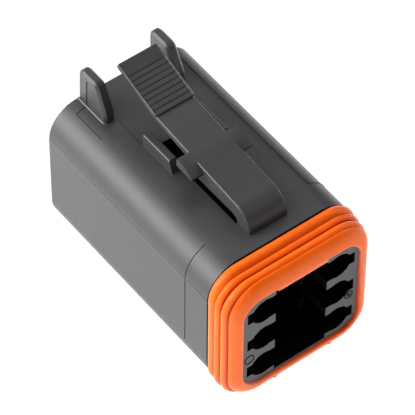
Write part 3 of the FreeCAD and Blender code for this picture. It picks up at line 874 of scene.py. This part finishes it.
@dataclass
class PlugHousing:
    """Black housing: a copy of the moulding with its fine lines, beads and marks.

    A point within near of a line belongs to it, and a point less than skin below the
    surface is on it.
    """

    body: Outline
    face: float
    near: float = 0.1
    skin: float = 0.02
    line_height: float = 14.3
    line_rise: float = 2.0
    line_reach: float = 0.2
    line_depth: float = 0.03
    side_bead: float = 0.5
    side_proud: float = 0.06
    side_stations: tuple[float, ...] = (-13.8, 0.0, 18.3)
    shoulder_line: float = 7.85
    shoulder_low: float = 20.3
    shoulder_depth: float = 0.03
    rail_top: float = 22.75
    rail_front: float = 1.575
    rail_reach: float = 0.2
    rail_sides: tuple[float, float] = (3.2, 4.6)
    rail_slope: float = 0.6
    # Boxes of the inside and of the channel under the latch, where shade is painted near-black
    core_half: float = 8.6
    core_low: float = 2.4
    core_high: float = 18.5
    core_rear: float = 18.3
    channel_half: float = 2.96
    channel_low: float = 19.6
    channel_ends: tuple[float, float] = (-9.1, 6.4)
    bead_radius: float = 0.23
    bead_sunk: float = 0.06
    bead_out: float = 0.02
    bead_back: float = 0.45
    bead_bend: float = 0.5
    bead_sweep: float = 70.0
    bead_steps: int = 5
    ear_foot: float = 6.2
    ear_front: float = 12.875
    ear_rear: float = 18.38
    ear_lean: float = 0.025
    ear_heights: tuple[float, ...] = (0.0, 1.0, 2.0, 3.0, 4.2)
    seam_radius: float = 0.055
    # Share of painted shade on the seams
    seam_shade: float = 0.6
    seam_station: float = 16.7
    seam_slant: float = 0.12
    seam_ahead: float = 1.5
    over_places: tuple[float, ...] = (6.25, 6.6, 7.0, 7.4, 7.85)
    turn_station: float = -9.2
    turn_sweep: float = 69.0
    turn_steps: int = 12
    gap_station: float = -13.67
    gap_sunk: float = 0.12
    gap_radius: float = 0.2
    mark_radius: float = 0.075
    mark_steps: int = 12
    marks: tuple[tuple[float, float, float], ...] = (
        (-7.75, 7.4, 0.7), (7.43, 8.4, 0.6), (7.43, 8.4, 0.16))

    def copy_moulding(self, material: Material) -> Object:
        """Copy the CAD moulding and put its side lines, shoulders and rails right.

        Args:
            material: Finish of the moulding.

        Returns:
            The copy.
        """
        work = merged_copy("plug_housing")
        side = self.body.right - self.line_reach
        floor = self.body.right - self.line_depth
        inner, outer = self.rail_sides
        for point in work.verts:
            x, y, z = point.co / MM
            on_rail = z > self.rail_top - self.rail_reach and inner < abs(x) < outer
            if abs(x) > side and abs(z - self.line_height) < self.near:
                point.co.z += self.line_rise * MM
                if abs(x) < floor:
                    point.co.x = math.copysign(self.body.right, x) * MM
            elif (abs(abs(x) - self.shoulder_line) < self.near
                  and self.shoulder_low < z < self.top_at(x) - self.skin):
                point.co.z = (self.top_at(x) - (self.shoulder_depth if x > 0 else 0.0)) * MM
            elif on_rail and y < self.rail_front + self.rail_reach:
                point.co.y += self.rail_slope * MM
        moulding = smooth_skin(work, "moulding", material)
        self.mark_painted_shade(moulding.data)
        return moulding

    def mark_painted_shade(self, mesh: Mesh) -> None:
        """Store which faces lie in the inside and under the latch, where shade is painted.

        Args:
            mesh: Mesh of the moulding.
        """
        front, rear = self.channel_ends
        inside = mesh.attributes.new("core", "FLOAT", "FACE")
        for face, core in zip(mesh.polygons, inside.data):
            x, y, z = face.center / MM
            within = abs(x) < self.core_half and self.core_low < z < self.core_high
            hollow = within and self.face + self.skin < y < self.core_rear
            low = self.channel_low < z < self.body.high - self.skin
            under = abs(x) < self.channel_half and low and front < y < rear
            core.value = DARK if hollow or under else LIT

    def top_at(self, x: float) -> float:
        """Height of the moulding's skin at a place across it, in millimetres."""
        over = max(abs(x) - (self.body.right - self.body.radius), 0.0)
        return self.body.high - self.body.radius + math.sqrt(self.body.radius ** 2 - over ** 2)

    def bead_paths(self) -> list[Line]:
        """Paths of the beads at the feet of the ears, from the rear round the front corner.

        Returns:
            One path for each side.
        """
        x, y = self.ear_foot + self.bead_out, self.ear_front + self.bead_back
        top = self.body.high - self.bead_sunk
        paths = []
        for side in (-1, 1):
            path = [(side * x, self.ear_rear, top), (side * x, y, top)]
            for step in range(1, self.bead_steps + 1):
                turn = math.radians(self.bead_sweep * step / self.bead_steps)
                path.append((side * (x - self.bead_bend * (1 - math.cos(turn))),
                             y - self.bead_bend * math.sin(turn), top))
            paths.append(path)
        return paths

    def side_paths(self) -> list[Line]:
        """Paths of the low beads where the halves of the mould meet along the sides.

        Returns:
            One path for each side.
        """
        x = self.body.right + self.side_proud - self.side_bead
        height = self.line_height + self.line_rise
        return [[(side * x, y, height) for y in self.side_stations] for side in (-1, 1)]

    def turn_path(self, side: int) -> Line:
        """Path of the seam that runs over a shoulder and down the side.

        Args:
            side: -1 for the left side and 1 for the right one.

        Returns:
            The path.
        """
        radius = self.body.radius
        x, z = self.body.right - radius, self.body.high - radius
        path = []
        for step in range(self.turn_steps + 1):
            angle = math.radians(self.turn_sweep * (1 - step / self.turn_steps))
            path.append((side * (x + radius * math.cos(angle)), self.turn_station,
                         z + radius * math.sin(angle)))
        return path + [(side * self.body.right, self.turn_station, self.body.low + radius)]

    def seam_paths(self) -> list[Line]:
        """Paths of the seams of the mould's halves at the ears and shoulders, in painted shade.

        Returns:
            The paths at both sides and along both shoulders.
        """
        paths = []
        for side in (-1, 1):
            paths.append([(side * (self.ear_foot - self.ear_lean * height), self.seam_station,
                           self.body.high + height) for height in self.ear_heights])
            paths.append([(side * x, self.seam_station - self.seam_slant * (x - self.ear_foot),
                           self.top_at(x)) for x in self.over_places])
            paths.append(self.turn_path(side))
        top = self.top_at(self.shoulder_line)
        paths.append([(self.shoulder_line, y, top)
                      for y in (self.turn_station, 0.0, self.seam_station)])
        paths.append([(-self.shoulder_line, y, top - self.skin)
                      for y in (self.ear_front - self.seam_ahead, self.seam_station)])
        return paths

    def mark_paths(self) -> list[Line]:
        """Paths of the plain round tool marks on the webs of the face, drawn in painted shade.

        Returns:
            One closed path for each mark.
        """
        turns = [math.radians(360 * step / self.mark_steps) for step in range(self.mark_steps + 1)]
        return [[(x + radius * math.cos(turn), self.face, z + radius * math.sin(turn))
                 for turn in turns] for x, z, radius in self.marks]

    def gap_path(self) -> Line:
        """Path of the painted shade in the gap where the shell ends at the orange seal."""
        ring = self.body.grown(-self.gap_sunk).ring(self.gap_station)
        return [tuple(point / MM) for point in ring + ring[:1]]

    def build(self, material: Material, lines: MouldedLine) -> list[Object]:
        """Make the housing and its fine lines.

        Args:
            material: Finish of the housing.
            lines: Maker of the thin lines.

        Returns:
            The housing and its lines.
        """
        moulding = self.copy_moulding(material)
        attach(moulding, Body.HOUSING.value)
        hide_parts("plug_housing")
        # The seams, the seal gap and the tool marks are lines of painted shade
        return [moulding] + [
            lines.draw(name, Body.HOUSING, paths, radius, depth, section)
            for name, paths, radius, depth, section in (
                ("ear_foot_beads", self.bead_paths(), self.bead_radius, LIT, Section.RIDGE),
                ("side_beads", self.side_paths(), self.side_bead, LIT, Section.ROUND),
                ("mould_seams", self.seam_paths(), self.seam_radius, self.seam_shade, Section.FINE),
                ("seal_gap", [self.gap_path()], self.gap_radius, DARK, Section.FINE),
                ("round_tool_marks", self.mark_paths(), self.mark_radius, DARK, Section.FINE))]


@dataclass
class WireSeal:
    """Soft orange seal at the rear with a raised round lip at each wire hole."""

    rear: float
    columns: tuple[float, ...] = (-5.55, 5.55)
    rows: tuple[float, ...] = (5.1, 10.2, 15.3)
    lip_radius: float = 1.27
    lip_round: float = 0.22
    lip_steps: int = 40
    round_steps: int = 14

    def make_lips(self, material: Material) -> Object:
        """Make the six lips, one at every point of a mesh that marks the holes.

        Args:
            material: Finish of the lips.

        Returns:
            The lips' object.
        """
        tree, given = open_group("wire_lips", {
            "Geometry": "Geometry", "Lip Radius": "Float", "Lip Round": "Float"})
        path, section = (add_node(tree, "GeometryNodeCurvePrimitiveCircle", {
            "Resolution": steps, "Radius": given[name]}, mode="RADIUS")
            for steps, name in ((self.lip_steps, "Lip Radius"), (self.round_steps, "Lip Round")))
        lip = add_node(tree, "GeometryNodeCurveToMesh", {
            "Curve": path.outputs[0], "Profile Curve": section.outputs[0]})
        spread = add_node(tree, "GeometryNodeInstanceOnPoints", {
            "Points": given["Geometry"], "Instance": lip.outputs[0],
            "Rotation": (math.radians(90), 0.0, 0.0)})
        close_group(tree, spread.outputs[0], material)
        mesh = bpy.data.meshes.new("lips")
        holes = [Vector((x, self.rear, z)) * MM for x in self.columns for z in self.rows]
        mesh.from_pydata(holes, [], [])
        return link_object("lips", grow(mesh, tree, {
            "Lip Radius": self.lip_radius * MM, "Lip Round": self.lip_round * MM}))

    def build(self, material: Material) -> Object:
        """Make the seal, which stands for its CAD node.

        Args:
            material: Finish of the seal.

        Returns:
            The finished seal.
        """
        disc = smooth_skin(merged_copy("wire_seal"), "disc", material)
        seal = join_pieces("wire_gland", [disc, self.make_lips(material)], material)
        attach(seal, Body.HOUSING.value)
        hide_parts("wire_seal")
        return seal


def direction(azimuth: float, elevation: float) -> Vector:
    """Direction from the object towards a camera or a lamp.

    Args:
        azimuth: Angle round the object in degrees, 0 in front and -90 at the left.
        elevation: Angle above the floor in degrees.

    Returns:
        A vector of length 1.
    """
    a, e = math.radians(azimuth), math.radians(elevation)
    return Vector((math.sin(a) * math.cos(e), -math.cos(a) * math.cos(e), math.sin(e)))


@dataclass(frozen=True)
class SoftBox:
    """Square lamp: where it shines from in degrees, its watts and its side in metres."""

    name: str
    azimuth: float
    elevation: float
    power: float
    side: float = 0.4


@dataclass
class Studio:
    """Pale floor, soft light and the camera.

    Angles are in degrees, the lens and sensor in millimetres, other lengths in metres.
    """

    azimuth: float = -37.745
    elevation: float = 50.364
    roll: float = 0.492
    lens: float = 307.66
    sensor: float = 36.0
    clip: tuple[float, float] = (0.02, 10.0)
    camera_at: tuple[float, float, float] = (-0.16924, -0.21832, 0.34637)
    centre_shift: float = 0.5 / 415
    floor_size: float = 2.0
    floor_drop: float = 0.00005
    floor_light: float = 0.69
    floor_white: float = 0.9
    floor_colour: str = "#f4f4f4"
    surround: float = 0.0
    lamp_distance: float = 0.6
    lamp_aim: tuple[float, float, float] = (0.0, 0.0, 0.012)
    lamps: tuple[SoftBox, ...] = (
        SoftBox("soft_box_left_low", -123, 23, 4.8),
        SoftBox("soft_box_left_high", -110, 50, 1.8),
        SoftBox("soft_box_front", -43, 25, 0.55, 0.15),
        SoftBox("soft_box_right", 70, 30, 1.4),
        SoftBox("soft_box_rear_right", 142, 45, 0.65),
        SoftBox("soft_box_rear_left", -165, 35, 1.05),
        SoftBox("soft_box_top", 0, 89, 0.25),
    )

    def add_camera(self) -> None:
        """Add the camera at the photograph's angle."""
        data = bpy.data.cameras.new("camera")
        data.sensor_width = self.sensor
        data.lens = self.lens
        data.shift_x, data.shift_y = -self.centre_shift, self.centre_shift
        data.clip_start, data.clip_end = self.clip
        back = direction(self.azimuth, self.elevation)
        a, r = math.radians(self.azimuth), math.radians(self.roll)
        right = Vector((math.cos(a), math.sin(a), 0))
        up = back.cross(right)
        turned_right = right * math.cos(r) + up * math.sin(r)
        turned_up = up * math.cos(r) - right * math.sin(r)
        turn = Matrix((turned_right, turned_up, back)).transposed().to_4x4()
        camera = link_object("camera", data)
        camera.matrix_world = Matrix.Translation(self.camera_at) @ turn
        bpy.context.scene.camera = camera

    def add_floor(self) -> None:
        """Add the floor of matte backdrop paper.

        It spreads the light evenly, and the camera sees nine tenths of it burnt out
        to white, which leaves a clean ground with a faint shadow.
        """
        half, z = self.floor_size / 2, -self.floor_drop
        mesh = bpy.data.meshes.new("floor")
        corners = [(-half, -half, z), (half, -half, z), (half, half, z), (-half, half, z)]
        mesh.from_pydata(corners, [], [(0, 1, 2, 3)])
        floor = link_object("floor", mesh)
        material, tree = new_material("pale_backdrop_paper")
        seen = add_node(tree, "ShaderNodeLightPath").outputs["Is Camera Ray"]
        share = add_node(tree, "ShaderNodeMath", {0: seen, 1: self.floor_white},
                         operation="MULTIPLY")
        paper = add_node(tree, "ShaderNodeBsdfDiffuse", {"Color": linear(self.floor_colour)})
        lit, glow = (add_node(tree, "ShaderNodeEmission", {
            "Color": linear("#ffffff"), "Strength": power}) for power in (self.floor_light, 1.0))
        both = add_node(tree, "ShaderNodeAddShader", {0: paper.outputs[0], 1: lit.outputs[0]})
        mixed = add_node(tree, "ShaderNodeMixShader", {
            0: share.outputs[0], 1: both.outputs[0], 2: glow.outputs[0]})
        add_node(tree, "ShaderNodeOutputMaterial", {"Surface": mixed.outputs[0]})
        mesh.materials.append(material)

    def add_lamp(self, box: SoftBox) -> None:
        """Add one soft box that looks at the middle of the object.

        Args:
            box: Where it stands, its power and its size.
        """
        data = bpy.data.lights.new(box.name, "AREA")
        data.energy = box.power
        data.size = box.side
        way = direction(box.azimuth, box.elevation)
        lamp = link_object(box.name, data)
        lamp.location = way * self.lamp_distance + Vector(self.lamp_aim)
        lamp.rotation_euler = way.to_track_quat("Z", "Y").to_euler()

    def add_world(self) -> None:
        """Add an even surround, white where the camera sees it."""
        world = bpy.data.worlds.new("studio")
        world.use_nodes = True
        tree = world.node_tree
        tree.nodes.clear()
        seen = add_node(tree, "ShaderNodeLightPath").outputs["Is Camera Ray"]
        dim, white = (add_node(tree, "ShaderNodeBackground", {
            "Color": linear("#ffffff"), "Strength": power}) for power in (self.surround, 1.0))
        mixed = add_node(tree, "ShaderNodeMixShader", {
            0: seen, 1: dim.outputs[0], 2: white.outputs[0]})
        add_node(tree, "ShaderNodeOutputWorld", {"Surface": mixed.outputs[0]})
        bpy.context.scene.world = world

    def build(self) -> None:
        """Set up the view, the floor and the light."""
        bpy.context.scene.view_settings.view_transform = "Standard"
        self.add_camera()
        self.add_floor()
        self.add_world()
        for box in self.lamps:
            self.add_lamp(box)


def dress(node: str, material: Material) -> Object:
    """Give a CAD node its finish.

    Args:
        node: Name of the CAD node.
        material: Finish that every face of it gets.

    Returns:
        The node's object.
    """
    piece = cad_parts[node]
    if piece.material_slots:
        for slot in piece.material_slots:
            slot.material = material
    else:
        piece.data.materials.append(material)
    return piece


def main() -> None:
    """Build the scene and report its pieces."""
    logging.basicConfig(level=logging.INFO)
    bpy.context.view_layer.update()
    nylon = GlassFilledNylon().build()
    silicone = OrangeSilicone().build()
    pieces = [dress("seal_retainer", nylon)]
    pieces.append(WireSeal(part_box("wire_seal")[1].y / MM).build(silicone))
    low, high = (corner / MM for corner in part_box("plug_housing"))
    body = Outline(low.x, high.x, low.z, high=20.9, radius=4.5)
    nose = Outline(left=-8.85, right=8.85, low=2.2, high=18.2, radius=2.7)
    lines = MouldedLine(nylon)
    pieces += PlugHousing(body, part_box("plug_housing")[0].y / MM).build(nylon, lines)
    pieces += LatchArm(thumb=6.925, pad_height=25.627).build(nylon, lines)
    seal = InterfaceSeal(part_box("interface_seal")[0].y / MM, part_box("interface_seal")[1].y / MM,
                         body, nose)
    pieces.append(seal.build(silicone))
    for piece in pieces:
        LOG.info("%s: %d faces", piece.name, len(piece.data.polygons))
    Studio().build()


if __name__ == "__main__":
    main()
